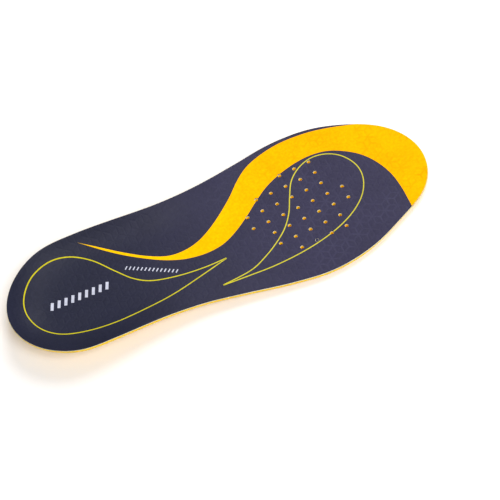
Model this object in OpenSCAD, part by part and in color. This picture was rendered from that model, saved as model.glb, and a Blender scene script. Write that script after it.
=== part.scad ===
// Cushioned insole for a right shoe: fabric cover, backing and bonding film on a moulded
// foam base with a heel cup, an inner arch side, a ribbed underside and a set-in heel pad.
// X runs from heel to toe, +Y is the inner (big toe) side, and the underside rests on Z = 0.

/* [Outline] */
// Length from heel to toe
length = 272; // [250:1:300]
// Width across the ball of the foot
ball_width = 97; // [88:0.2:106]

/* [Heights] */
// Height of the rim round the heel
heel_rim = 21; // [18:0.5:24]
// Height of the cover over the middle of the heel
heel_top = 9; // [8:0.5:11]
// Height of the cover over the forefoot and toes
forefoot_top = 5; // [4.5:0.25:7]
// Height of the upright band round the edge of the foam
edge_band = 3; // [1:0.1:3.4]

/* [Layers] */
// Thickness of the fabric cover
cover_thick = 0.6; // [0.4:0.05:1]
// Thickness of the pale backing under the fabric
backing_thick = 0.35; // [0.2:0.05:0.6]
// Thickness of the bonding film between backing and foam
film_thick = 0.15; // [0.1:0.05:0.3]
// Thickness of the printed layer
print_thick = 0.2; // [0.2:0.05:0.3]

/* [Heel pad] */
// Thickness of the heel pad
pad_thick = 2.8; // [2.2:0.1:3.4]
// How far the pad stands proud of the foam round it
pad_proud = 1.2; // [0.8:0.1:1.6]
// Thickness of the adhesive between the pad and the foam
adhesive_thick = 0.2; // [0.1:0.05:0.3]
// Width of the grooves in the pad
groove_width = 1.8; // [1.2:0.1:2.4]

/* [Perforations] */
// Diameter of the perforations
hole_diameter = 2.2; // [1.5:0.1:3]
// Spacing of the perforations along the foot
hole_pitch_x = 10.1; // [9.5:0.1:11]
// Spacing of the perforations across the foot
hole_pitch_y = 8.5; // [8:0.1:9.5]

/* [Prints] */
// Width of the printed lines
line_width = 0.7; // [0.6:0.1:1.4]

/* [Hidden] */

// Shape along the foot, as 11 values spread evenly from heel to toe
FULLNESS = [1.285, 1.18, 0.955, 0.8, 0.74, 0.8, 0.935, 1.09, 1.18, 1.205, 1.335];
CENTRE_LINE = [-0.7, -0.2, 0.1, -0.3, -1.5, -2.05, -1.6, -0.6, 0.7, 1.2, -0.9];
INNER_RISE = [1, 1, 0.98, 0.98, 0.9, 0.6, 0.25, 0.06, 0, 0, 0];
OUTER_RISE = [1, 0.94, 0.78, 0.56, 0.34, 0.17, 0.05, 0, 0, 0, 0];
MIDDLE_RISE = [1, 1, 1, 1, 0.8, 0.45, 0.15, 0, 0, 0, 0];
CUP_POWER = [3.2, 3.2, 3, 2.6, 2.4, 2.4, 2.6, 3, 3, 3, 3];
INNER_SOLE = [0.68, 0.7, 0.7, 0.62, 0.5, 0.55, 0.75, 0.93, 0.95, 0.95, 0.95];
OUTER_SOLE = [0.68, 0.7, 0.72, 0.74, 0.8, 0.86, 0.92, 0.95, 0.95, 0.95, 0.95];

// The mesh: stations from heel to toe, and rings from the middle out to the rim
stations = 30;
around = 2 * stations;
spine_part = 0.76;
TOP_RINGS = [0.24, 0.46, 0.64, 0.78, 0.88, 0.95, 1];
WALL_STEPS = [1, 0.8, 0.6, 0.4, 0.2, 0];
SOLE_RINGS = [0.66, 0.33];

layers = cover_thick + backing_thick + film_thick;
sole_z = pad_proud;
wall_power = 1.3;

// Where the underside of the arch comes down to the ground, as parts of the length
arch_end = 0.42;
arch_fall = 0.1;

// Slant of the plain bars in the two printed rows and under the arch
bar_angle = 20;

// Outlines of the prints, each a smooth curve through a few points
HEEL_LINE = [[-2, -14.1], [-20, -18.5], [-40, -23], [-58, -25], [-78, -25.5], [-96, -23],
             [-111, -18], [-121, -9], [-125.5, 3], [-123, 14], [-114, 24], [-101, 29],
             [-88, 27.5], [-76, 20], [-66, 8], [-58, -1.5], [-48, -8], [-32, -12], [-16, -13.5],
             [-2, -13.3]];
FOREFOOT_LINE = [[-11, -29.6], [8, -27.5], [20, -22.5], [30, -16.5], [38, -10], [44.5, -1.5],
                 [49.5, 8.5], [55, 18], [63, 24.5], [73, 27.5], [83, 25.5], [91, 19.5], [96, 10],
                 [96, 0], [91, -10], [82, -18], [70, -24], [56, -28], [40, -30.5], [22, -31.5],
                 [5, -31], [-11, -30.4]];
SWOOSH_INNER = [[-80, 32.2], [-70, 25.8], [-57, 16.5], [-45, 8.5], [-34, 3.2], [-24, 2.1],
                [-14, 4], [-4, 8.8], [6, 15.5], [16, 23.5], [25, 32], [34, 38.5], [45, 42.8],
                [57, 45.3], [68, 45.6], [80, 44.5], [92, 41.7], [101, 38.9]];
SWOOSH_OUTER = [[113.4, -29.8], [113.6, -23], [113.5, -16], [112, -5], [108, 5.5], [102, 14.5],
                [94, 21.5], [84, 27], [73, 29], [62, 28.2], [51, 25.5], [40, 21], [30, 14.5],
                [20, 7], [10, 0.5], [0, -4], [-11, -5.4], [-23, -3.9], [-34, 0.1], [-45, 6.4],
                [-58, 15.3], [-70, 24.6]];
PAD_CENTRE = [-87, 0.5];
PAD_OUTLINE = [[23, -1], [27, 1.5], [31, 6], [31.5, 12], [27, 17.5], [18, 22], [6, 24], [-6, 22.5],
               [-17, 17], [-25, 9], [-28, -1], [-25, -11], [-17, -18.5], [-5, -23.5], [8, -24.5],
               [19, -22.5], [27, -18], [29.5, -12], [27, -6], [23, -1]];

// Perforations: for each row from the inner side, the first and last column
HOLE_ORIGIN = [51.3, -0.9];
hole_turn = 2.3;
HOLE_ROWS = [[3, 0, 2], [2, -2, 2], [1, -3, 2], [0, -3, 3], [-1, -2, 3], [-2, -2, 2], [-3, -1, 2]];

// Catmull-Rom value between b and c
function blend(a, b, c, d, t) =
    b + t / 2 * ((c - a) + t * ((2 * a - 5 * b + 4 * c - d) + t * (3 * (b - c) + d - a)));
// Value of an evenly spread list at u from 0 to 1
function along(list, u) =
    let (last = len(list) - 1, i = min(floor(u * last), last - 1))
    blend(list[max(i - 1, 0)], list[i], list[i + 1], list[min(i + 2, last)], u * last - i);
// Smooth open curve through points, with a few steps between each pair
function curve(points, steps = 4) =
    let (count = (len(points) - 1) * steps)
    [for (i = [0 : count]) along(points, i / count)];

function half_width(u) = ball_width / 2 * along(FULLNESS, u) * 2 * sqrt(u * (1 - u));
function side(k) = k <= stations ? 1 : -1;
function station(k) = k <= stations ? k : around - k;
function place(k) = (1 - cos(180 * station(k) / stations)) / 2;
function spine_place(k) = 0.5 + spine_part * (place(k) - 0.5);
function spine(k) = let (s = spine_place(k)) [length * (s - 0.5), along(CENTRE_LINE, s)];
function rim(k) =
    let (u = place(k))
    [length * (u - 0.5), along(CENTRE_LINE, u) + side(k) * half_width(u)];
function spot(k, r) = spine(k) + r * (rim(k) - spine(k));

function middle_top(u) = forefoot_top + (heel_top - forefoot_top) * along(MIDDLE_RISE, u);
function rise(k) = along(side(k) > 0 ? INNER_RISE : OUTER_RISE, place(k));
function rim_top(k) = forefoot_top + (heel_rim - forefoot_top) * rise(k);
function top_z(k, r) =
    let (low = middle_top(spine_place(k)))
    low + (rim_top(k) - low) * pow(r, along(CUP_POWER, place(k)));
// The underside: flat in the middle, a little higher from the heel pad to the arch, flared at
// the rim
function flat_z(u) =
    let (t = max(0, min(1, (u - arch_end) / arch_fall)))
    sole_z * (1 - t * t * (3 - 2 * t));
function sole_part(k) = along(side(k) > 0 ? INNER_SOLE : OUTER_SOLE, place(k));
function wall_r(k, q) = sole_part(k) + (1 - sole_part(k)) * q;
function wall_z(k, q) =
    let (low = flat_z(spine_place(k)), high = max(low, rim_top(k) - layers - edge_band))
    low + (high - low) * pow(q, wall_power);

function ring(r, lift) = [for (k = [0 : around - 1]) [each spot(k, r), top_z(k, r) + lift]];
function seam(lift) = [for (k = [0 : stations]) [each spine(k), top_z(k, 0) + lift]];
function wall_ring(q) = [for (k = [0 : around - 1]) [each spot(k, wall_r(k, q)), wall_z(k, q)]];
function sole_ring(f) =
    [for (k = [0 : around - 1]) [each spot(k, f * sole_part(k)), flat_z(spine_place(k))]];
function sole_seam() = [for (k = [0 : stations]) [each spine(k), flat_z(spine_place(k))]];

// A closed solid from an upper seam line, rings going out, down and back in, and a lower seam
module ringed_solid(upper, rings, lower) {
    first = stations + 1;
    last = first + len(rings) * around;
    function next(k) = (k + 1) % around;
    function upper_at(k) = station(k);
    function ring_at(j, k) = first + j * around + k;
    function lower_at(k) = last + station(k);
    function quad(a, b, c, d) = [[a, b, c], [a, c, d]];
    faces = [
        for (k = [0 : around - 1])
            each quad(upper_at(k), ring_at(0, k), ring_at(0, next(k)), upper_at(next(k))),
        for (j = [0 : len(rings) - 2], k = [0 : around - 1])
            each quad(ring_at(j, k), ring_at(j + 1, k), ring_at(j + 1, next(k)), ring_at(j, next(k))),
        for (k = [0 : around - 1])
            each quad(ring_at(len(rings) - 1, k), lower_at(k), lower_at(next(k)),
                      ring_at(len(rings) - 1, next(k)))
    ];
    polyhedron([each upper, for (r = rings) each r, each lower], faces);
}

// A skin that follows the top of the insole between two depths below the cover's face
module skin(top, bottom) {
    down = [for (i = [len(TOP_RINGS) - 1 : -1 : 0]) TOP_RINGS[i]];
    ringed_solid(seam(top),
                 [for (r = TOP_RINGS) ring(r, top), for (r = down) ring(r, bottom)],
                 seam(bottom));
}

module perforations() {
    translate(HOLE_ORIGIN)
        rotate(hole_turn)
            for (row = HOLE_ROWS, column = [row[1] : row[2]])
                translate([column * hole_pitch_x, row[0] * hole_pitch_y, -1])
                    cylinder(h = heel_rim, d = hole_diameter, $fn = 24);
}

module perforated_skin(top, bottom) {
    difference() {
        skin(top, bottom);
        perforations();
    }
}

// Anything printed on the cover: a thin skin cut to the outline of its child
module printed() {
    intersection() {
        skin(print_thick, 0);
        linear_extrude(heel_rim + 5) children();
    }
}

// A line of even width along the inside of a clockwise outline, narrowing to its sharp tip
module print_line(points, width) {
    path = curve(points);
    last = len(path) - 1;
    taper = 0.12;
    function normal(i) = let (d = path[i + 1] - path[i - 1]) [d[1], -d[0]] / norm(d);
    function inner(i) = path[i] + min(width, taper * norm(path[i] - path[0])) * normal(i);
    polygon([each path, for (i = [last - 1 : -1 : 1]) inner(i)]);
}

module slot(length, width) {
    square([length, width], center = true);
    for (end = [-1, 1])
        translate([end * length / 2, 0]) circle(d = width, $fn = 24);
}

// Lengthwise flex grooves in the underside of the midfoot, clear of the inner arch side
module flex_grooves() {
    depth = 1.2;
    first_length = 44;
    for (i = [0 : 6])
        translate([26 + 3 * i, 12 - 7 * i, -1])
            rotate(8)
                linear_extrude(1 + depth) slot(first_length + 2 * i, 3);
}

module foam_base() {
    color("gold") difference() {
        ringed_solid(seam(-layers),
                     [for (r = TOP_RINGS) ring(r, -layers),
                      for (q = WALL_STEPS) wall_ring(q),
                      for (f = SOLE_RINGS) sole_ring(f)],
                     sole_seam());
        perforations();
        flex_grooves();
        linear_extrude(pad_thick + adhesive_thick) pad_shape();
    }
}

module pad_shape() {
    translate(PAD_CENTRE) polygon(curve(PAD_OUTLINE, 3));
}

module heel_pad() {
    depth = 1.1;
    pitch = 8;
    middle_length = 36;
    color("#43486a") difference() {
        linear_extrude(pad_thick) pad_shape();
        for (i = [-2 : 2])
            translate([PAD_CENTRE[0] - 1, PAD_CENTRE[1] + pitch * i, -1])
                rotate(-14)
                    linear_extrude(1 + depth) slot(middle_length - 4 * abs(i), groove_width);
    }
}

module pad_adhesive() {
    color("ivory") translate([0, 0, pad_thick]) linear_extrude(adhesive_thick) pad_shape();
}

module bonding_film() {
    color("whitesmoke") perforated_skin(-cover_thick - backing_thick, -layers);
}

module cover_backing() {
    color("linen") perforated_skin(-cover_thick, -cover_thick - backing_thick);
}

module top_cover() {
    color("#33323f") perforated_skin(0, -cover_thick);
}

module swoosh_print() {
    // The band runs just inside the cut edge, round the toes from the inner to the outer side
    toe_edge = [for (k = [24 : 35]) spot(k, 0.996)];
    // resize() with zeros keeps the size, and keeps this large thin shape as one closed mesh
    color("#ffcf00") resize([0, 0, 0]) difference() {
        printed() polygon([each curve(SWOOSH_INNER), each toe_edge, each curve(SWOOSH_OUTER)]);
        perforations();
    }
}

module heel_line_print() {
    color("#d2c83c") printed() print_line(HEEL_LINE, line_width);
}

module forefoot_line_print() {
    color("#d2c83c") difference() {
        printed() print_line(FOREFOOT_LINE, line_width);
        perforations();
    }
}

// A row of plain slanted bars of equal height
module bar_row(count, pitch, width, height) {
    for (i = [0 : count - 1])
        translate([(i - (count - 1) / 2) * pitch, 0])
            rotate(-bar_angle)
                square([width, height], center = true);
}

module cover_mark_print() {
    color("lightsteelblue") printed() {
        translate([-92, 2]) rotate(-3) bar_row(9, 4.4, 1.8, 5);
        translate([-46, -1]) rotate(-30) bar_row(14, 2.4, 0.7, 2.4);
    }
}

module underside_mark_print() {
    color("#4a3a10")
        translate([-38, -13, sole_z - print_thick])
            linear_extrude(print_thick) bar_row(8, 3.2, 1, 3);
}

foam_base();
heel_pad();
pad_adhesive();
bonding_film();
cover_backing();
top_cover();
swoosh_print();
heel_line_print();
forefoot_line_print();
cover_mark_print();
underside_mark_print();
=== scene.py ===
import math

import bmesh
import bpy
import numpy as np
from mathutils import Matrix, Vector
from mathutils.geometry import delaunay_2d_cdt


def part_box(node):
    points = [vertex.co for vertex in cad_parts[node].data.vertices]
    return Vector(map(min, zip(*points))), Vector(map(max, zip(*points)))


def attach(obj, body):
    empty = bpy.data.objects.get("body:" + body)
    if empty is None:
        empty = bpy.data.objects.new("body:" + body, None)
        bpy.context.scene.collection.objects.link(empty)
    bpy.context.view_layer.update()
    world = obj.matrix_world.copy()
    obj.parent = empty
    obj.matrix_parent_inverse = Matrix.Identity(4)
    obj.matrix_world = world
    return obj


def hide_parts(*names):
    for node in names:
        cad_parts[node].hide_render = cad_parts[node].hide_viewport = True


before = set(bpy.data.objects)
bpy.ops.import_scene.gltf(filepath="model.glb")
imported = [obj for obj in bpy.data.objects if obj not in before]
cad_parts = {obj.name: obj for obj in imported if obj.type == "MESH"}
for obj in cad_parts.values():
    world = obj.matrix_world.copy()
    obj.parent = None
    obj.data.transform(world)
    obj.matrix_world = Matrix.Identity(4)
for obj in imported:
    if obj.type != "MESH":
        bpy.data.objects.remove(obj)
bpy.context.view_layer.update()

# A cushioned insole for a right shoe. X runs from heel to toe, +Y is the inner side, +Z is up.
# Lengths in this script are in millimetres until a mesh is made, which is in metres.
MM = 0.001

# ---------------------------------------------------------------- sizes, from the frame
cover_low, cover_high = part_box("top_cover")
# The outer and the inner side are widest at different places, so the box is wider than the ball
BOX_PER_BALL = 1.0014
LENGTH = (cover_high.x - cover_low.x) / MM
BALL_WIDTH = (cover_high.y - cover_low.y) / MM / BOX_PER_BALL
HEEL_RIM = cover_high.z / MM
PAD_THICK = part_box("heel_pad")[1].z / MM
POCKET_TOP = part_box("pad_adhesive")[1].z / MM
# Heights of the cover over the middle of the heel and over the forefoot
HEEL_TOP = 9.0
FOREFOOT_TOP = 5.0
# Height of the cut band round the foam, and how far the pad stands proud of the foam
EDGE_BAND = 3.0
PAD_PROUD = 1.2
# Thickness of each layer on top of the foam
COVER = 0.6
BACKING = 0.35
FILM = 0.15
LAYERS = COVER + BACKING + FILM

# Shape along the foot, 11 values spread evenly from heel to toe: how full the outline is, and
# where its middle line lies
FULLNESS = [1.285, 1.18, 0.955, 0.8, 0.74, 0.8, 0.935, 1.09, 1.18, 1.205, 1.335]
CENTRE_LINE = [-0.7, -0.2, 0.1, -0.3, -1.5, -2.05, -1.6, -0.6, 0.7, 1.2, -0.9]
# How much of the climb from forefoot to heel the inner rim, the outer rim and the middle have
INNER_RISE = [1, 1, 0.98, 0.98, 0.9, 0.6, 0.25, 0.06, 0, 0, 0]
OUTER_RISE = [1, 0.94, 0.78, 0.56, 0.34, 0.17, 0.05, 0, 0, 0, 0]
MIDDLE_RISE = [1, 1, 1, 1, 0.8, 0.45, 0.15, 0, 0, 0, 0]
# How sharply the cover turns up to the rim
CUP_POWER = [3.2, 3.2, 3, 2.6, 2.4, 2.4, 2.6, 3, 3, 3, 3]
# How far out the sole reaches on each side, as a part of the way from the spine to the rim
INNER_SOLE = [0.68, 0.7, 0.7, 0.62, 0.5, 0.55, 0.75, 0.93, 0.95, 0.95, 0.95]
OUTER_SOLE = [0.68, 0.7, 0.72, 0.74, 0.8, 0.86, 0.92, 0.95, 0.95, 0.95, 0.95]
# The spine's length as a part of the insole's
SPINE_PART = 0.76
# How the moulded wall curves up from the sole
WALL_POWER = 1.3
# Where along the spine the heel's raised underside starts to fall to the ground, and over what part
ARCH_END = 0.42
ARCH_FALL = 0.1

# Outlines of the prints and the heel pad, each a smooth curve through a few points
HEEL_LINE = [(-2, -14.1), (-20, -18.5), (-40, -23), (-58, -25), (-78, -25.5), (-96, -23), (-111, -18),
             (-121, -9), (-125.5, 3), (-123, 14), (-114, 24), (-101, 29), (-88, 27.5), (-76, 20),
             (-66, 8), (-58, -1.5), (-48, -8), (-32, -12), (-16, -13.5), (-2, -13.3)]
FOREFOOT_LINE = [(-11, -29.6), (8, -27.5), (20, -22.5), (30, -16.5), (38, -10), (44.5, -1.5),
                 (49.5, 8.5), (55, 18), (63, 24.5), (73, 27.5), (83, 25.5), (91, 19.5), (96, 10),
                 (96, 0), (91, -10), (82, -18), (70, -24), (56, -28), (40, -30.5), (22, -31.5),
                 (5, -31), (-11, -30.4)]
SWOOSH_INNER = [(-80, 32.2), (-70, 25.8), (-57, 16.5), (-45, 8.5), (-34, 3.2), (-24, 2.1), (-14, 4),
                (-4, 8.8), (6, 15.5), (16, 23.5), (25, 32), (34, 38.5), (45, 42.8), (57, 45.3),
                (68, 45.6), (80, 44.5), (92, 41.7), (104, 37.8), (118, 33.4)]
SWOOSH_OUTER = [(113, -46), (113.5, -28), (113.5, -16), (112, -5), (108, 5.5), (102, 14.5),
                (94, 21.5), (84, 27), (73, 29), (62, 28.2), (51, 25.5), (40, 21), (30, 14.5), (20, 7),
                (10, 0.5), (0, -4), (-11, -5.4), (-23, -3.9), (-34, 0.1), (-45, 6.4), (-58, 15.3),
                (-70, 24.6)]
PAD_CENTRE = np.array([-87, 0.5])
PAD_OUTLINE = [(23, -1), (27, 1.5), (31, 6), (31.5, 12), (27, 17.5), (18, 22), (6, 24), (-6, 22.5),
               (-17, 17), (-25, 9), (-28, -1), (-25, -11), (-17, -18.5), (-5, -23.5), (8, -24.5),
               (19, -22.5), (27, -18), (29.5, -12), (27, -6), (23, -1)]

# Perforations
HOLE_ORIGIN = np.array([51.3, -0.9])
HOLE_TURN = math.radians(2.3)
HOLE_PITCH = np.array([10.1, 8.5])
HOLE_RADIUS = 1.1
# The part of its width that a hole loses halfway down, and its radius in the cover
HOLE_WAIST = 0.5
COVER_HOLE_RADIUS = 1.25
# Row number, first and last column
HOLE_ROWS = [(3, 0, 2), (2, -2, 2), (1, -3, 2), (0, -3, 3), (-1, -2, 3), (-2, -2, 2), (-3, -1, 2)]
# One punched disc of fabric has stayed in its hole
PLUG_PLACE = (0, -3)

# Points round the outline
AROUND = 440


# ---------------------------------------------------------------- plan and heights
PAST_RIM = 1.03
HALVINGS = 42


def along(values, u):
    """Catmull-Rom value of an evenly spread list at u from 0 to 1."""
    values = np.asarray(values, float)
    last = len(values) - 1
    u = np.clip(u, 0, 1) * last
    i = np.minimum(u.astype(int), last - 1)
    t = (u - i).reshape(u.shape + (1,) * (values.ndim - 1))
    a, b = values[np.maximum(i - 1, 0)], values[i]
    c, d = values[i + 1], values[np.minimum(i + 2, last)]
    return b + t / 2 * ((c - a) + t * ((2 * a - 5 * b + 4 * c - d) + t * (3 * (b - c) + d - a)))


def curve(points, steps=6):
    """A smooth open curve through a few points."""
    return along(points, np.linspace(0, 1, (len(points) - 1) * steps + 1))


def smooth(t):
    """0 up to t = 0, 1 from t = 1, and an even S curve between."""
    t = np.clip(t, 0, 1)
    return t * t * (3 - 2 * t)


def half_width(u):
    return BALL_WIDTH / 2 * along(FULLNESS, u) * 2 * np.sqrt(np.clip(u * (1 - u), 0, None))


def by_side(inner, outer, side, u):
    """The value at u of the inner side's list or the outer side's."""
    return np.where(side > 0, along(inner, u), along(outer, u))


def spot(phi, r):
    """The plan point at angle phi round the outline and part r of the way out to it."""
    u = (1 - np.cos(phi)) / 2
    side = np.where(phi % (2 * math.pi) <= math.pi, 1, -1)
    s = 0.5 + SPINE_PART * (u - 0.5)
    spine = np.stack([LENGTH * (s - 0.5), along(CENTRE_LINE, s)], -1)
    rim = np.stack([LENGTH * (u - 0.5), along(CENTRE_LINE, u) + side * half_width(u)], -1)
    return spine + np.reshape(r, np.shape(r) + (1,)) * (rim - spine)


def plan(xy):
    """Where plan points lie: the part of the way out r, the place along the foot u, and the side."""
    x, y = xy[:, 0], xy[:, 1]
    # The middle line follows the spine, and runs straight from its ends to the heel and toe tips
    beyond = np.clip((np.abs(x) / (LENGTH / 2) - SPINE_PART) / (1 - SPINE_PART), 0, 1)
    spine_end = along(CENTRE_LINE, 0.5 + np.sign(x) * SPINE_PART / 2)
    tip = along(CENTRE_LINE, 0.5 + np.sign(x) / 2)
    straight = spine_end + beyond * (tip - spine_end)
    side = np.where(y >= np.where(beyond > 0, straight, along(CENTRE_LINE, 0.5 + x / LENGTH)), 1, -1)

    def place(r):
        return np.clip(x / (LENGTH * (SPINE_PART + (1 - SPINE_PART) * r)), -0.5, 0.5)

    # Halve the range of r, which ends a little past the rim, until it has closed in on the point
    low, high = beyond, np.full(len(x), PAST_RIM)
    for _ in range(HALVINGS):
        r = (low + high) / 2
        c = place(r)
        u, s = 0.5 + c, 0.5 + SPINE_PART * c
        middle = along(CENTRE_LINE, s)
        reach = middle + r * (along(CENTRE_LINE, u) + side * half_width(u) - middle)
        outside = side * (reach - y) < 0
        low, high = np.where(outside, r, low), np.where(outside, high, r)
    r = (low + high) / 2
    return r, 0.5 + place(r), side


def heights(xy):
    """The cover's face and the foam's underside, without their small details, over plan points."""
    r, u, side = plan(xy)
    s = 0.5 + SPINE_PART * (u - 0.5)
    low = FOREFOOT_TOP + (HEEL_TOP - FOREFOOT_TOP) * along(MIDDLE_RISE, s)
    rim = FOREFOOT_TOP + (HEEL_RIM - FOREFOOT_TOP) * by_side(INNER_RISE, OUTER_RISE, side, u)
    top = low + (rim - low) * r ** along(CUP_POWER, u)
    sole = by_side(INNER_SOLE, OUTER_SOLE, side, u)
    flat = PAD_PROUD * (1 - smooth((s - ARCH_END) / ARCH_FALL))
    q = np.clip((r - sole) / (1 - sole), 0, 1)
    under = flat + (rim - LAYERS - EDGE_BAND - flat) * q ** WALL_POWER
    return top, under


def top_z(xy):
    return heights(xy)[0]


# ---------------------------------------------------------------- plan outlines
ANGLES = np.arange(AROUND) / AROUND * 2 * math.pi


def outline(inset=0.0):
    """The rim, or a line that runs the same distance inside it."""
    rim, spine = spot(ANGLES, np.ones(AROUND)), spot(ANGLES, np.zeros(AROUND))
    return spot(ANGLES, 1 - inset / np.linalg.norm(rim - spine, axis=1))


def sole_part(phi):
    """How far out the sole reaches at angle phi, as a part of the way to the rim."""
    u = (1 - np.cos(phi)) / 2
    side = np.where(phi <= math.pi, 1, -1)
    return by_side(INNER_SOLE, OUTER_SOLE, side, u)


def circle(centre, radius, count=16):
    a = np.arange(count) / count * 2 * math.pi
    return centre + radius * np.stack([np.cos(a), np.sin(a)], -1)


def lattice(places):
    """Plan points for places given as column and row numbers."""
    c, s = math.cos(HOLE_TURN), math.sin(HOLE_TURN)
    return HOLE_ORIGIN + (np.array(places) * HOLE_PITCH) @ np.array([[c, s], [-s, c]])


CENTRES = lattice([(column, row) for row, first, last in HOLE_ROWS for column in range(first, last + 1)])
HOLES = [circle(c, HOLE_RADIUS) for c in CENTRES]
COVER_HOLES = [circle(c, COVER_HOLE_RADIUS) for c in CENTRES]
PLUG_CENTRE = lattice([PLUG_PLACE])[0]
BACKING_HOLES = [hole for hole, c in zip(HOLES, CENTRES) if not np.allclose(c, PLUG_CENTRE)]


# Width of a printed line at its ends, and how fast it grows from there
LINE_END = 0.25
LINE_GROWTH = 0.12


def strip(points, width):
    """The outline of a line of even width that narrows to its two ends, which lie together."""
    path = curve(points)
    step = np.gradient(path, axis=0)
    normal = np.stack([step[:, 1], -step[:, 0]], -1) / np.linalg.norm(step, axis=1)[:, None]
    from_end = np.linalg.norm(path - path[0], axis=1)
    inner = path + normal * np.minimum(width, LINE_END + LINE_GROWTH * from_end)[:, None]
    return np.concatenate([path, inner[::-1]])


def bars(centre, turn, count, pitch, width, height, slant=-20):
    """A row of plain slanted bars."""
    box = np.array([(-1, -1), (1, -1), (1, 1), (-1, 1)]) * (width / 2, height / 2)

    def turned(points, degrees):
        a = math.radians(degrees)
        return points @ np.array([[math.cos(a), math.sin(a)], [-math.sin(a), math.cos(a)]])

    row = [turned(box, slant) + ((i - (count - 1) / 2) * pitch, 0) for i in range(count)]
    return [turned(b, turn) + centre for b in row]


# ---------------------------------------------------------------- meshes
# Room that grid points leave round outlines, as a part of the grid's spacing, and that extra
# points leave, in millimetres
GRID_GAP = 0.5
EXTRA_GAP = 0.2
# Outline points compared with the grid at a time, to save memory
CHUNK = 200
# How close two plan points count as one, and how close two mesh points are welded, in metres
SAME_POINT = 1e-7
WELD = 2e-7


def inside(points, loop):
    """Which points lie inside a closed loop."""
    x, y = points[:, 0], points[:, 1]
    result = np.zeros(len(points), bool)
    for (x0, y0), (x1, y1) in zip(loop, np.roll(loop, -1, axis=0)):
        if y0 != y1:
            crosses = (y0 > y) != (y1 > y)
            result ^= crosses & (x < (x1 - x0) * (y - y0) / (y1 - y0) + x0)
    return result


def hex_grid(low, high, spacing):
    """Points in staggered rows, all the same distance from their neighbours."""
    rows = np.arange(low[1], high[1], spacing * math.sqrt(3) / 2)
    columns = np.arange(low[0], high[0], spacing)
    x, y = np.meshgrid(columns, rows)
    x = x + (np.arange(len(rows)) % 2)[:, None] * spacing / 2
    return np.stack([x.ravel(), y.ravel()], -1)


def graded_grid(low, high, spacings, level):
    """A hex grid for each spacing, each used where level gives its number."""
    grids, gaps = [], []
    for number, spacing in enumerate(spacings):
        grid = hex_grid(low, high, spacing)
        grid = grid[level(grid) == number]
        grids.append(grid)
        gaps.append(np.full(len(grid), GRID_GAP * spacing))
    return np.concatenate(grids), np.concatenate(gaps)


def patch(keep, cut, spacings, limit=None, level=None, extra=None):
    """Triangles over the plan inside any keep loop and the limit, and outside every cut loop.
    level picks one of several spacings by place, and extra adds points of its own."""
    if level is None:
        spacings, level = (spacings,), lambda points: np.zeros(len(points))
    loops = [*keep, *cut] + ([limit] if limit is not None else [])
    fixed = np.concatenate(loops)
    edges, start = [], 0
    for loop in loops:
        count = len(loop)
        edges += [(start + i, start + (i + 1) % count) for i in range(count)]
        start += count
    low, high = np.concatenate(keep).min(0), np.concatenate(keep).max(0)
    grid, gap = graded_grid(low, high, spacings, level)
    if extra is not None:
        grid = np.concatenate([extra, grid])
        gap = np.concatenate([np.full(len(extra), EXTRA_GAP), gap])
    near = np.full(len(grid), np.inf)
    for chunk in np.array_split(fixed, max(1, len(fixed) // CHUNK)):
        near = np.minimum(near, np.linalg.norm(grid[:, None] - chunk[None], axis=2).min(1))
    grid = grid[near > gap]
    points = [Vector(p) for p in np.concatenate([fixed, grid])]
    verts, _, faces, *_ = delaunay_2d_cdt(points, edges, [], 0, SAME_POINT)
    verts = np.array([tuple(v) for v in verts])
    faces = np.array([f for f in faces if len(f) == 3])
    middle = verts[faces].mean(1)
    chosen = np.zeros(len(middle), bool)
    for loop in keep:
        chosen |= inside(middle, loop)
    for loop in cut:
        chosen &= ~inside(middle, loop)
    if limit is not None:
        chosen &= inside(middle, limit)
    faces = faces[chosen]
    used, faces = np.unique(faces, return_inverse=True)
    verts, faces = verts[used], faces.reshape(-1, 3)
    a, b, c = (verts[faces[:, i]] for i in range(3))
    turned = np.cross(b - a, c - a) < 0
    faces[turned] = faces[turned][:, ::-1]
    return verts, faces


def border(faces):
    """The directed edges that only one triangle uses."""
    edges = {(a, b) for f in faces for a, b in ((f[0], f[1]), (f[1], f[2]), (f[2], f[0]))}
    return [(a, b) for a, b in edges if (b, a) not in edges]


def make_object(name, verts, faces, sharp=35):
    """A mesh object from millimetre points, welded, smooth shaded and sharp at its corners."""
    mesh = bpy.data.meshes.new(name)
    points = [tuple(v) for v in np.asarray(verts) * MM]
    mesh.from_pydata(points, [], [tuple(int(i) for i in f) for f in faces])
    bm = bmesh.new()
    bm.from_mesh(mesh)
    bmesh.ops.remove_doubles(bm, verts=bm.verts, dist=WELD)
    bmesh.ops.recalc_face_normals(bm, faces=bm.faces)
    bm.to_mesh(mesh)
    bm.free()
    mesh.polygons.foreach_set("use_smooth", [True] * len(mesh.polygons))
    mesh.set_sharp_from_angle(angle=math.radians(sharp))
    obj = bpy.data.objects.new(name, mesh)
    bpy.context.scene.collection.objects.link(obj)
    return obj


def slab(name, shape, top, bottom, sharp=35):
    """A closed solid over a patch, between two height functions."""
    verts, faces = shape
    count = len(verts)
    points = np.concatenate([np.c_[verts, top(verts)], np.c_[verts, bottom(verts)]])
    walls = [(b, a, a + count, b + count) for a, b in border(faces)]
    return make_object(name, points, [*faces, *(faces[:, ::-1] + count), *walls], sharp)


def lifted(lift):
    """The height of a face that runs parallel to the cover's."""
    return lambda xy: top_z(xy) + lift


# ---------------------------------------------------------------- soft layers on top
RIM = outline()
# How far the cover and the film stop short of the foam's edge
COVER_INSET = 0.2
FILM_INSET = 0.1
# How wide and how deep the cover's cut edge is turned down
EDGE_ROUND = 0.6
EDGE_DROP = 0.22
# Added to half the width to get a rough distance from the spine to the rim, at the tips too
TIP_REACH = 12
# Spacing of the mesh points
COVER_SPACING = 2.0
LAYER_SPACING = 3.5
PRINT_SPACING = 3.0
# Sharper than this many degrees counts as an edge on the cover
COVER_SHARP = 50
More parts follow.
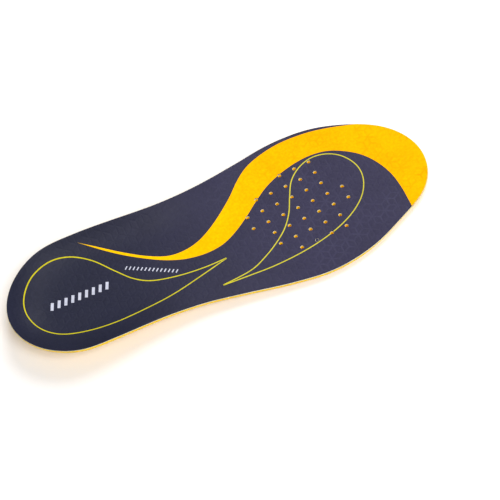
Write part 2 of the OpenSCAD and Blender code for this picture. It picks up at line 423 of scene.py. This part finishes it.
# Gap round the punched disc, and how deep it has sunk
PLUG_GAP = 0.38
PLUG_SINK = 0.1
PLUG_SPACING = 0.5
# How far a print stands above the cover, and how far it reaches into it
PRINT_LIFT = 0.1
PRINT_SINK = 0.04


def rounded_top(xy):
    """The cover's face, turned down a little along its cut edge."""
    r, u, _ = plan(xy)
    reach = half_width(u) + TIP_REACH
    edge = np.clip(1 - ((1 - r) * reach - COVER_INSET) / EDGE_ROUND, 0, 1)
    return top_z(xy) - EDGE_DROP * edge ** 2


COVER_RINGS = np.concatenate([outline(COVER_INSET + d) for d in (0.3, 0.8)])


def build_cover():
    shape = patch([outline(COVER_INSET)], COVER_HOLES, COVER_SPACING, extra=COVER_RINGS)
    return slab("insole_cover", shape, rounded_top, lifted(-COVER), COVER_SHARP)


def build_plug():
    """The disc of cover fabric that was punched but not pushed out, sunk a little in its hole."""
    rim = circle(PLUG_CENTRE, COVER_HOLE_RADIUS - PLUG_GAP, 20)
    return slab("unpushed_disc", patch([rim], [], PLUG_SPACING), lifted(-PLUG_SINK), lifted(-COVER))


def build_backing():
    shape = patch([RIM], BACKING_HOLES, LAYER_SPACING)
    return slab("insole_backing", shape, lifted(-COVER), lifted(-COVER - BACKING))


def build_film():
    shape = patch([outline(FILM_INSET)], HOLES, LAYER_SPACING)
    return slab("insole_bonding_film", shape, lifted(-COVER - BACKING), lifted(-LAYERS))


def build_print(name, loops, spacing=PRINT_SPACING, extra=None):
    """A thin layer of ink over the loops, open at the perforations."""
    shape = patch(loops, COVER_HOLES, spacing, limit=outline(COVER_INSET), extra=extra)

    def top(xy):
        return rounded_top(xy) + PRINT_LIFT

    def bottom(xy):
        return rounded_top(xy) - PRINT_SINK

    return slab(name, shape, top, bottom)


# ---------------------------------------------------------------- heel pad
PAD_LOOP = curve(PAD_OUTLINE, 6)[:-1] + PAD_CENTRE
PAD_ROUND = 1.1
PAD_SPACING = 5.0
PAD_SHARP = 75
# Five curved grooves: their direction, spacing and place, and how much they bend, and from where
GROOVE_TURN = math.radians(14)
GROOVE_PITCH = 7.2
GROOVE_SHIFT = 1.5
GROOVE_BEND = 0.004
BEND_PLACE = -4
GROOVES_EACH_SIDE = 2
# Width, width of each sloping side, and depth
GROOVE_WIDE = 2.0
GROOVE_SIDE = 1.0
GROOVE_DEEP = 1.35
# The part of the depth that is left at the front, where the fading starts, and over what length
FRONT_DEPTH = 0.3
FRONT_END = 17
FRONT_FADE = 22
# How much the ridges between the grooves are rounded
RIDGE_ROUND = 0.3
# The plain border round the grooves, and how far they take to fade into it
PAD_BORDER = 4.2
BORDER_FADE = 1.5


def distance_to(points, loop):
    """The distance from each point to a closed loop."""
    a, b = loop, np.roll(loop, -1, axis=0)
    d = b - a
    best = np.full(len(points), np.inf)
    for p, q in zip(a, d):
        t = np.clip(((points - p) @ q) / (q @ q), 0, 1)
        best = np.minimum(best, np.linalg.norm(points - p - t[:, None] * q, axis=1))
    return best


def groove_bend(w):
    """How far a groove has bent aside at w along it."""
    return GROOVE_BEND * (w - BEND_PLACE) ** 2


def pad_under(xy):
    """The pad's face towards the ground: a rounded edge and curved grooves that deepen to the rear."""
    edge = distance_to(xy, PAD_LOOP)
    rounding = PAD_ROUND - np.sqrt(PAD_ROUND ** 2 - np.clip(PAD_ROUND - edge, 0, PAD_ROUND) ** 2)
    p = xy - PAD_CENTRE
    w = p @ (math.cos(GROOVE_TURN), -math.sin(GROOVE_TURN))
    v = p @ (math.sin(GROOVE_TURN), math.cos(GROOVE_TURN)) - groove_bend(w)
    row = np.round((v + GROOVE_SHIFT) / GROOVE_PITCH)
    row = np.clip(row, -GROOVES_EACH_SIDE, GROOVES_EACH_SIDE)
    off = np.minimum(np.abs(v + GROOVE_SHIFT - row * GROOVE_PITCH), GROOVE_PITCH / 2)
    groove = GROOVE_DEEP * smooth(((GROOVE_WIDE + GROOVE_SIDE) / 2 - off) / GROOVE_SIDE)
    ridge = RIDGE_ROUND * (1 - off / (GROOVE_PITCH / 2)) ** 2
    fading = FRONT_DEPTH + (1 - FRONT_DEPTH) * smooth((FRONT_END - w) / FRONT_FADE)
    return rounding + (groove + ridge) * fading * smooth((edge - PAD_BORDER) / BORDER_FADE)


def groove_points():
    """Rows of points that follow the grooves, so that their edges run clean."""
    beside = (-1.5, -1.0, -0.5, 0, 0.5, 1.0, 1.5, 2.6)
    rows = np.arange(-GROOVES_EACH_SIDE, GROOVES_EACH_SIDE + 1)
    w, row, side = np.meshgrid(np.arange(-28, 30, 0.9), rows, beside)
    v = row * GROOVE_PITCH - GROOVE_SHIFT + side + groove_bend(w)
    c, s = math.cos(GROOVE_TURN), math.sin(GROOVE_TURN)
    points = np.stack([w * c + v * s, v * c - w * s], -1).reshape(-1, 2) + PAD_CENTRE
    return points[inside(points, PAD_LOOP)]


def build_pad():
    rings = [PAD_LOOP + (PAD_CENTRE - PAD_LOOP) * s for s in (0.012, 0.03, 0.05)]
    shape = patch([PAD_LOOP], [], PAD_SPACING, extra=np.concatenate([*rings, groove_points()]))

    def pad_top(xy):
        return np.full(len(xy), PAD_THICK)

    return slab("insole_heel_pad", shape, pad_top, pad_under, PAD_SHARP)


# ---------------------------------------------------------------- foam base
# Flex ribs: their direction, spacing, depth and power, and where and over what length they end
RIB_TURN = math.radians(12)
RIB_PITCH = 7.0
RIB_DEEP = 1.4
RIB_POWER = 1.6
RIB_END = 64
RIB_FADE = 14
# Where the ribs end towards the inner side, and over what width
RIB_INNER_END = 17
RIB_INNER_FADE = 5
# The wavy step at their heel end: its place and slant, the height of its waves, its depth, how
# long its slope is, and how far it runs out
STEP_PLACE = 14
STEP_SLANT = 0.72
STEP_WAVE = 2.4
STEP_DEEP = 0.6
STEP_SLOPE = 1.4
STEP_LENGTH = 16
# The raised lip behind the step, which is left out where the foam is close to the ground
LIP_HIGH = 0.35
LIP_PLACE = -1.2
LIP_WIDE = 0.9
LIP_CLEARANCE = 0.36
# Part of the way to the rim over which the relief fades out at the sole's edge
SOLE_FADE = 0.06
# The knife leaned in a little, so the cut band is undercut, and more so under the toe
EDGE_UNDERCUT = 0.6
TOE_UNDERCUT = 1.3
UNDERCUT_START = 70
UNDERCUT_FADE = 28
# How much the cut band swells halfway down, and how deep the knife's marks in it are
BAND_SWELL = 0.32
KNIFE_DEEP = 0.03
# The heel pad's pocket is this part larger than the pad
POCKET_GAP = 0.004
# Spacing of the mesh points: on top and in the pocket, and on the underside for each rib level
FOAM_SPACING = 4.0
UNDER_SPACINGS = (2.2, 0.95, 0.55)
# Rows of points down the moulded wall, and steps down a hole and down the pocket's wall
WALL_ROWS = 15
HOLE_STEPS = 6
POCKET_STEPS = 2
FOAM_SHARP = 40


def rib_place(xy):
    """Along and across the ribs, and how far past the wavy step on their heel side."""
    w = xy @ (math.cos(RIB_TURN), math.sin(RIB_TURN))
    v = xy @ (-math.sin(RIB_TURN), math.cos(RIB_TURN))
    wave = STEP_WAVE * np.abs(np.cos(math.pi * v / RIB_PITCH))
    past = w - (STEP_PLACE + STEP_SLANT * v + wave)
    return w, v, past


def rib_level(xy):
    """0 for coarse, 1 for closer points over the ribs, and 2 for the closest along the step."""
    w, v, past = rib_place(xy)
    on_ribs = (past > -4) & (w < RIB_END + 5) & (v < 20)
    on_step = (np.abs(past) < 2.6) & (v < 19)
    return np.where(on_step, 2, np.where(on_ribs, 1, 0))


def foam_under(xy):
    """The foam's underside: smooth at the heel, then a wavy step down to flex ribs."""
    under = heights(xy)[1]
    r, u, side = plan(xy)
    w, v, past = rib_place(xy)
    inner_end = smooth((RIB_INNER_END - v) / RIB_INNER_FADE)
    room = smooth((by_side(INNER_SOLE, OUTER_SOLE, side, u) - r) / SOLE_FADE)
    started = smooth(past / STEP_SLOPE + 0.5)
    fading = smooth((RIB_END - w) / RIB_FADE)
    wave = 0.5 - 0.5 * np.cos(2 * math.pi * v / RIB_PITCH)
    ribs = RIB_DEEP * (1 - (1 - wave) ** RIB_POWER) * fading
    step = STEP_DEEP * (1 - smooth(past / STEP_LENGTH))
    lip = LIP_HIGH * np.exp(-((past - LIP_PLACE) / LIP_WIDE) ** 2)
    return under + room * inner_end * (started * (ribs + step) - lip * (under > LIP_CLEARANCE))


def knife_marks(t):
    """Small waves and nicks along the cut edge, between -1 and 1."""
    return (np.sin(17 * ANGLES + 2 * t) + np.sin(41 * ANGLES + 1.3 + 3 * t)) / 2


def ring_faces(rings, size):
    """Four-sided faces between neighbouring rings, each of size points."""
    return [
        (j * size + k, (j + 1) * size + k, (j + 1) * size + (k + 1) % size, j * size + (k + 1) % size)
        for j in range(rings - 1) for k in range(size)
    ]


def side_rows(part):
    """Rings of points down the side: the cut band, then the moulded wall down to the sole."""
    rim_top = top_z(RIM) - LAYERS
    rows = [np.c_[RIM, rim_top]]
    at_toe = smooth((RIM[:, 0] - UNDERCUT_START) / UNDERCUT_FADE)
    lean = EDGE_UNDERCUT + (TOE_UNDERCUT - EDGE_UNDERCUT) * at_toe
    for t in (0.05, 0.3, 0.55, 0.8, 1.0):
        bulge = math.sin(math.pi * min(t + 0.05, 1)) ** 0.5
        swell = BAND_SWELL * bulge + KNIFE_DEEP * knife_marks(t)
        rows.append(np.c_[outline(lean * t - swell), rim_top - EDGE_BAND * t])
    band_foot = 1 - lean / np.linalg.norm(RIM - spot(ANGLES, np.zeros(AROUND)), axis=1)
    for q in np.linspace(1, 0, WALL_ROWS)[1:]:
        ring = spot(ANGLES, part + (band_foot - part) * q)
        z = foam_under(ring) if q == 0 else heights(ring)[1]
        rows.append(np.c_[ring, z])
    return rows


def build_foam():
    top_xy, top_faces = patch([RIM], HOLES, FOAM_SPACING)
    pocket = PAD_LOOP + (PAD_LOOP - PAD_CENTRE) * POCKET_GAP
    part = sole_part(ANGLES)
    sole = spot(ANGLES, part)
    under_xy, under_faces = patch([sole], [*HOLES, pocket], UNDER_SPACINGS, level=rib_level)
    ceiling_xy, ceiling_faces = patch([pocket], [], FOAM_SPACING)
    verts, faces = [], []

    def add(points, polygons):
        start = sum(len(v) for v in verts)
        verts.append(np.asarray(points))
        faces.extend(tuple(i + start for i in f) for f in polygons)

    add(np.c_[top_xy, top_z(top_xy) - LAYERS], top_faces)
    add(np.c_[under_xy, foam_under(under_xy)], under_faces[:, ::-1])
    add(np.c_[ceiling_xy, np.full(len(ceiling_xy), POCKET_TOP)], ceiling_faces[:, ::-1])
    rows = side_rows(part)
    add(np.concatenate(rows), ring_faces(len(rows), AROUND))

    def tube(loop, upper, lower, steps, waist=0.0):
        """The wall of a hole, which the waist draws in halfway down."""
        centre = loop.mean(0)
        levels = []
        for t in np.linspace(0, 1, steps + 1):
            drawn_in = centre + (loop - centre) * (1 - waist * math.sin(math.pi * t) ** 0.55)
            levels.append(np.c_[drawn_in, upper + (lower - upper) * t])
        faces_inwards = [(a, d, c, b) for a, b, c, d in ring_faces(steps + 1, len(loop))]
        add(np.concatenate(levels), faces_inwards)

    for hole in HOLES:
        tube(hole, top_z(hole) - LAYERS, foam_under(hole), HOLE_STEPS, HOLE_WAIST)
    tube(pocket, np.full(len(pocket), POCKET_TOP), foam_under(pocket), POCKET_STEPS)
    return make_object("insole_foam", np.concatenate(verts), faces, FOAM_SHARP)


# ---------------------------------------------------------------- materials
def linear(rgb):
    """Screen colour, 0 to 255, as the linear values that nodes use."""
    return tuple((c / 255 / 12.92) if c <= 10 else ((c / 255 + 0.055) / 1.055) ** 2.4 for c in rgb)


class Surface:
    """A material with a few short helpers for its nodes."""

    def __init__(self, name):
        self.material = bpy.data.materials.new(name)
        self.material.use_nodes = True
        self.nodes, self.links = self.material.node_tree.nodes, self.material.node_tree.links
        self.shader = self.nodes["Principled BSDF"]
        self.place = self.node("ShaderNodeTexCoord").outputs["Object"]

    def node(self, kind, **settings):
        n = self.nodes.new(kind)
        for key, value in settings.items():
            setattr(n, key, value)
        return n

    def set(self, **values):
        for key, value in values.items():
            self.shader.inputs[key.replace("_", " ")].default_value = value

    def texture(self, kind, output, inputs, **settings):
        n = self.node(kind, **settings)
        self.links.new(self.place, n.inputs["Vector"])
        for key, value in inputs.items():
            n.inputs[key].default_value = value
        return n.outputs[output]

    def noise(self, size_mm, detail):
        return self.texture("ShaderNodeTexNoise", "Fac", {"Scale": 1 / (size_mm * MM), "Detail": detail})

    def cells(self, size_mm):
        """Distance to the nearest of many scattered points."""
        return self.texture("ShaderNodeTexVoronoi", "Distance",
                            {"Scale": 1 / (size_mm * MM), "Randomness": 1.0}, feature="F1")

    def waves(self, pitch_mm, axis):
        # A wave texture at scale 1 repeats every 2 pi / 20
        scale = 2 * math.pi / (20 * pitch_mm * MM)
        inputs = {"Scale": scale, "Distortion": 0.6, "Detail": 1.0}
        return self.texture("ShaderNodeTexWave", "Fac", inputs, bands_direction=axis)

    def math(self, operation, a, b=0.0):
        n = self.node("ShaderNodeMath", operation=operation)
        for socket, value in zip(n.inputs, (a, b)):
            if isinstance(value, (int, float)):
                socket.default_value = value
            else:
                self.links.new(value, socket)
        return n.outputs[0]

    def forward(self, start_mm, end_mm):
        """0 behind start and 1 in front of end, along the foot."""
        split, n = self.node("ShaderNodeSeparateXYZ"), self.node("ShaderNodeMapRange")
        n.interpolation_type = "SMOOTHSTEP"
        self.links.new(self.place, split.inputs[0])
        self.links.new(split.outputs["X"], n.inputs["Value"])
        n.inputs["From Min"].default_value = start_mm * MM
        n.inputs["From Max"].default_value = end_mm * MM
        return n.outputs["Result"]

    def cubes(self, size_mm):
        """Distance to the lines of a tumbling-block pattern: hexagons, each with three spokes."""
        split = self.node("ShaderNodeSeparateXYZ")
        self.links.new(self.place, split.inputs[0])
        x = self.math("MULTIPLY", split.outputs["X"], 1 / (size_mm * MM))
        y = self.math("MULTIPLY", split.outputs["Y"], 1 / (size_mm * MM))
        row = math.sqrt(3)

        def cell(shift_x, shift_y):
            """The place in one of two interleaved grids of cells, and its distance squared."""
            in_x = self.math("FLOORED_MODULO", self.math("ADD", x, shift_x), 1.0)
            in_y = self.math("FLOORED_MODULO", self.math("ADD", y, shift_y), row)
            cx, cy = self.math("SUBTRACT", in_x, 0.5), self.math("SUBTRACT", in_y, row / 2)
            reach = self.math("ADD", self.math("MULTIPLY", cx, cx), self.math("MULTIPLY", cy, cy))
            return cx, cy, reach

        ax, ay, near_a = cell(0.0, 0.0)
        bx, by, near_b = cell(0.5, row / 2)
        use_a = self.math("LESS_THAN", near_a, near_b)

        def chosen(a, b):
            return self.math("ADD", b, self.math("MULTIPLY", use_a, self.math("SUBTRACT", a, b)))

        gx, gy = self.math("ABSOLUTE", chosen(ax, bx)), chosen(ay, by)
        half_x, half_y = self.math("MULTIPLY", gx, 0.5), self.math("MULTIPLY", gy, row / 2)
        slant = self.math("ADD", half_x, self.math("ABSOLUTE", half_y))
        rim = self.math("SUBTRACT", 0.5, self.math("MAXIMUM", gx, slant))
        spoke_down = self.math("MAXIMUM", gx, gy)
        across = self.math("ABSOLUTE", self.math("SUBTRACT", half_x, half_y))
        behind = self.math("ADD", self.math("MULTIPLY", gx, -row / 2), self.math("MULTIPLY", gy, -0.5))
        spoke_up = self.math("MAXIMUM", across, behind)
        return self.math("MINIMUM", rim, self.math("MINIMUM", spoke_down, spoke_up))

    def ramp(self, value, stops):
        n = self.node("ShaderNodeValToRGB")
        while len(n.color_ramp.elements) < len(stops):
            n.color_ramp.elements.new(0.5)
        for element, (at, colour) in zip(n.color_ramp.elements, stops):
            element.position = at
            element.color = (*colour, 1)
        self.links.new(value, n.inputs["Fac"])
        return n.outputs["Color"]

    def mix(self, factor, a, b, blend="MIX"):
        n = self.node("ShaderNodeMix", data_type="RGBA", blend_type=blend)
        for name, kind, value in (("Factor", "VALUE", factor), ("A", "RGBA", a), ("B", "RGBA", b)):
            target = [s for s in n.inputs if s.name == name and s.type == kind][0]
            if isinstance(value, (int, float)):
                target.default_value = value
            elif isinstance(value, tuple):
                target.default_value = (*value, 1)
            else:
                self.links.new(value, target)
        return [s for s in n.outputs if s.type == "RGBA"][0]

    def colour(self, socket):
        self.links.new(socket, self.shader.inputs["Base Color"])

    def roughness(self, value, low, high):
        n = self.node("ShaderNodeMapRange")
        n.inputs["To Min"].default_value = low
        n.inputs["To Max"].default_value = high
        self.links.new(value, n.inputs["Value"])
        self.links.new(n.outputs["Result"], self.shader.inputs["Roughness"])

    def bump(self, layers):
        """layers is a list of (height socket, depth in millimetres)."""
        normal = None
        for height, depth in layers:
            n = self.node("ShaderNodeBump")
            n.inputs["Strength"].default_value = 1.0
            n.inputs["Distance"].default_value = depth * MM
            self.links.new(height, n.inputs["Height"])
            if normal is not None:
                self.links.new(normal, n.inputs["Normal"])
            normal = n.outputs["Normal"]
        self.links.new(normal, self.shader.inputs["Normal"])


# Spacing of the knit along and across the foot, and of the pressed block pattern
KNIT_ALONG = 0.62
KNIT_ACROSS = 0.5
BLOCK_SIZE = 8.5
# Where the fabric's colour turns from the heel's painted shade to the toe's painted sheen, and where the
# pressed pattern's painted sheen comes up
PAINTED_SHEEN_TURN = (-100, 70)
PATTERN_RISE = (-30, 110)


def fabric(name, heel_painted_light_tone, toe_painted_light_tone, pressed_painted_light_tone, pressed_painted_light_part, specular, roughness):
    """Fine knit with a faint pressed block pattern that shows most over the forefoot. The colour holds
    painted light: painted shade at the heel, painted sheen towards the toe, and painted light on the
    pressed lines.
    """
    s = Surface(name)
    knit = s.math("MULTIPLY", s.waves(KNIT_ALONG, "X"), s.waves(KNIT_ACROSS, "Y"))
    flat = s.ramp(s.cubes(BLOCK_SIZE), [(0.0, (0, 0, 0)), (0.1, (1, 1, 1))])
    # Painted light: the base colour runs from the heel's tone, a painted shade, to the toe's tone, a
    # painted sheen, in place of sheen from the lights
    forward = s.forward(*PAINTED_SHEEN_TURN)
    broad, fine = s.math("MULTIPLY", s.noise(18, 5), 0.45), s.math("MULTIPLY", s.noise(1.7, 3), 0.55)
    grain = s.math("ADD", broad, fine)
    shade = s.ramp(grain, [(0.36, (0.8, 0.8, 0.8)), (0.64, (1, 1, 1))])
    base = s.mix(1.0, s.mix(forward, linear(heel_painted_light_tone), linear(toe_painted_light_tone)), shade, "MULTIPLY")
    # Painted light: the pressed lines take the pressed tone in patches that rise towards the toe,
    # standing in for sheen caught by the relief
    sheen_patches = s.ramp(s.noise(20, 2), [(0.42, (0, 0, 0)), (0.62, (1, 1, 1))])
    rise = s.math("MULTIPLY", sheen_patches, s.forward(*PATTERN_RISE))
    in_line = s.math("MULTIPLY", s.math("SUBTRACT", 1.0, flat), rise)
    s.colour(s.mix(s.math("MULTIPLY", in_line, pressed_painted_light_part), base, linear(pressed_painted_light_tone)))
    s.roughness(s.noise(3, 2), *roughness)
    s.bump([(knit, 0.03), (flat, 0.05), (s.noise(0.35, 2), 0.02)])
    s.set(Specular_IOR_Level=specular)
    return s.material


def foam_material():
    """Moulded foam: a fine porous skin that lets a little light in."""
    s = Surface("moulded_foam")
    pores = s.cells(0.55)
    skin = s.noise(0.9, 3)
    tone = s.noise(22, 3)
    base = s.ramp(tone, [(0.3, linear((255, 198, 2))), (0.7, linear((255, 204, 6)))])
    s.colour(s.mix(s.math("MULTIPLY", pores, 0.08), base, linear((240, 168, 0))))
    s.roughness(skin, 0.42, 0.6)
    s.bump([(pores, 0.03), (skin, 0.04)])
    s.set(Subsurface_Weight=0.5, Subsurface_Scale=0.003, Specular_IOR_Level=0.2)
    s.shader.inputs["Subsurface Radius"].default_value = (1.0, 0.55, 0.1)
    return s.material


def pad_material():
    """Soft navy gel with a slight sheen and fine specks."""
    s = Surface("pad_rubber")
    specks, grain = s.cells(0.7), s.noise(1.6, 4)
    base = s.ramp(grain, [(0.3, linear((42, 46, 76))), (0.7, linear((52, 56, 88)))])
    s.colour(s.mix(s.math("MULTIPLY", specks, 0.1), base, linear((74, 78, 112))))
    s.roughness(grain, 0.38, 0.55)
    s.bump([(specks, 0.04), (grain, 0.05)])
    s.set(Specular_IOR_Level=0.45)
    return s.material


def plain_material(name, dark, light, size_mm, rough, depth):
    """Film, adhesive, backing or ink on foam: two tones of noise with a fine tooth."""
    s = Surface(name)
    s.colour(s.ramp(s.noise(size_mm, 4), [(0.3, linear(dark)), (0.7, linear(light))]))
    s.roughness(s.noise(size_mm / 2, 2), *rough)
    s.bump([(s.noise(size_mm / 3, 3), depth)])
    return s.material


def dress(obj, material, slot, *nodes):
    """Gives a piece its material and its body, and hides the CAD nodes it stands for. The slot is not
    used.
    """
    obj.data.materials.clear()
    obj.data.materials.append(material)
    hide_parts(*nodes)
    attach(obj, "root")
    return obj


# ---------------------------------------------------------------- build the pieces
# The heel and toe tones are painted shade and painted sheen, and the pressed tones are painted light on
# the pressed lines
navy = fabric("cover_knit", heel_painted_light_tone=(32, 34, 53), toe_painted_light_tone=(45, 42, 69), pressed_painted_light_tone=(66, 64, 92),
              pressed_painted_light_part=0.4, specular=0.16, roughness=(0.42, 0.55))
yellow = fabric("yellow_knit", heel_painted_light_tone=(255, 200, 0), toe_painted_light_tone=(255, 179, 0),
                pressed_painted_light_tone=(232, 140, 0), pressed_painted_light_part=0.7, specular=0.02, roughness=(0.6, 0.75))
line_ink = fabric("line_ink", heel_painted_light_tone=(206, 194, 22), toe_painted_light_tone=(206, 196, 56),
                  pressed_painted_light_tone=(180, 170, 60), pressed_painted_light_part=0.3, specular=0.1, roughness=(0.5, 0.65))
pale_ink = fabric("pale_ink", heel_painted_light_tone=(196, 198, 214), toe_painted_light_tone=(206, 208, 222),
                  pressed_painted_light_tone=(190, 190, 206), pressed_painted_light_part=0.3, specular=0.1, roughness=(0.5, 0.65))
felt = plain_material("backing_felt", dark=(214, 206, 186), light=(240, 234, 218), size_mm=1.2,
                      rough=(0.8, 0.95), depth=0.06)
hot_melt = plain_material("hot_melt_film", dark=(214, 214, 206), light=(232, 232, 226), size_mm=2.0,
                          rough=(0.4, 0.6), depth=0.02)
dark_ink = plain_material("dark_ink", dark=(48, 36, 12), light=(70, 54, 22), size_mm=1.5,
                          rough=(0.5, 0.7), depth=0.02)
adhesive_look = plain_material("pad_adhesive_look", dark=(206, 198, 170), light=(226, 220, 196),
                               size_mm=1.5, rough=(0.35, 0.5), depth=0.03)

cover = dress(build_cover(), navy, "cover_fabric", "top_cover")
backing = dress(build_backing(), felt, "backing", "cover_backing")
film = dress(build_film(), hot_melt, "film", "bonding_film")
foam = dress(build_foam(), foam_material(), "foam", "foam_base")
plug = build_plug()
plug.data.materials.append(navy)
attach(plug, "root")
pad = dress(build_pad(), pad_material(), "pad_rubber", "heel_pad")

# The band runs off the cover at the toe, and ends where the cover does
BEYOND_TOE = [(150, 40), (150, -50)]
swoosh_loop = np.concatenate([curve(SWOOSH_INNER), BEYOND_TOE, curve(SWOOSH_OUTER)])
swoosh = build_print("swoosh_band", [swoosh_loop], COVER_SPACING, COVER_RINGS)
dress(swoosh, yellow, "yellow_print", "swoosh_print")

LINE_WIDTH = 0.66
heel_line = build_print("heel_teardrop_line", [strip(HEEL_LINE, LINE_WIDTH)])
dress(heel_line, line_ink, "line_print", "heel_line_print")
forefoot_line = build_print("forefoot_teardrop_line", [strip(FOREFOOT_LINE, LINE_WIDTH)])
dress(forefoot_line, line_ink, "line_print", "forefoot_line_print")

# Plain bars stand in for the marks on the cover and on the underside
heel_bars = bars(centre=(-92, 2), turn=-3, count=9, pitch=4.4, width=1.8, height=5)
arch_bars = bars(centre=(-46, -1), turn=-30, count=14, pitch=2.4, width=0.7, height=2.4)
dress(build_print("cover_bars", heel_bars + arch_bars), pale_ink, "pale_print", "cover_mark_print")

# How far the dark bars stand out of the foam, and how far they reach into it
BARS_PROUD = 0.06
BARS_SUNK = 0.05


def build_under_bars():
    def top(xy):
        return foam_under(xy) + BARS_SUNK

    def bottom(xy):
        return foam_under(xy) - BARS_PROUD

    row = bars(centre=(-38, -13), turn=0, count=8, pitch=3.2, width=1, height=3)
    return slab("underside_bars", patch(row, [], PRINT_SPACING), top, bottom)


dress(build_under_bars(), dark_ink, "dark_print", "underside_mark_print")

# The adhesive between pad and foam keeps its CAD shape
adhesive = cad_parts["pad_adhesive"]
adhesive.data.materials.clear()
adhesive.data.materials.append(adhesive_look)


# ---------------------------------------------------------------- floor, light and camera
# In metres
FLOOR_SIZE = 40
FLOOR_DROP = 0.0002


def floor():
    """A plain pale floor, just under the insole."""
    bpy.ops.mesh.primitive_plane_add(size=FLOOR_SIZE, location=(0, 0, -FLOOR_DROP))
    plane = bpy.context.object
    plane.name = "floor"
    s = Surface("studio_floor")
    s.colour(s.ramp(s.noise(60, 2), [(0.3, (0.86, 0.86, 0.87)), (0.7, (0.88, 0.88, 0.89))]))
    s.roughness(s.noise(40, 2), 0.4, 0.5)
    s.set(Specular_IOR_Level=0.2)
    plane.data.materials.append(s.material)


def area_light(name, place, aim, size, power):
    """A round soft light at place that shines towards aim. Lengths are in metres."""
    light = bpy.data.lights.new(name, "AREA")
    light.shape, light.size, light.energy = "DISK", size, power
    obj = bpy.data.objects.new(name, light)
    obj.location = place
    obj.rotation_euler = (Vector(aim) - Vector(place)).to_track_quat("-Z", "Y").to_euler()
    bpy.context.scene.collection.objects.link(obj)


def sun_light(name, from_direction, spread, strength):
    """Broad light from far away, spread over a disc of that many degrees."""
    light = bpy.data.lights.new(name, "SUN")
    light.angle, light.energy = math.radians(spread), strength
    obj = bpy.data.objects.new(name, light)
    obj.rotation_euler = (-Vector(from_direction)).to_track_quat("-Z", "Y").to_euler()
    bpy.context.scene.collection.objects.link(obj)


def camera(azimuth, elevation, roll, target, distance, lens):
    """Looks at target from azimuth and elevation in degrees, and is then rolled about its own axis."""
    data = bpy.data.cameras.new("camera")
    data.lens, data.sensor_width, data.clip_start = lens, 36, 0.01
    obj = bpy.data.objects.new("camera", data)
    a, e = math.radians(azimuth), math.radians(elevation)
    back = Vector((math.sin(a) * math.cos(e), -math.cos(a) * math.cos(e), math.sin(e)))
    right = Vector((math.cos(a), math.sin(a), 0))
    up = back.cross(right)
    turn = Matrix.Rotation(math.radians(roll), 3, "Z")
    obj.matrix_world = Matrix.Translation(Vector(target) + back * distance) @ (
        Matrix((right, up, back)).transposed() @ turn).to_4x4()
    bpy.context.scene.collection.objects.link(obj)
    bpy.context.scene.camera = obj


def surrounding_light(strength):
    """Even white light from all round."""
    world = bpy.data.worlds.new("studio")
    world.use_nodes = True
    background = world.node_tree.nodes["Background"]
    background.inputs["Color"].default_value = (1, 1, 1, 1)
    background.inputs["Strength"].default_value = strength
    bpy.context.scene.world = world


floor()
area_light("back_softbox", place=(0.62, 0.62, 1.1), aim=(0.05, 0, 0), size=0.9, power=13)
sun_light("front_light", from_direction=(0.25, -0.65, 1.05), spread=34, strength=2.2)
surrounding_light(0.36)
bpy.context.scene.view_settings.view_transform = "Standard"
camera(azimuth=-11.6, elevation=62.5, roll=-13.7, target=(0.0128, -0.0157, 0.008),
       distance=1.001, lens=119.4)
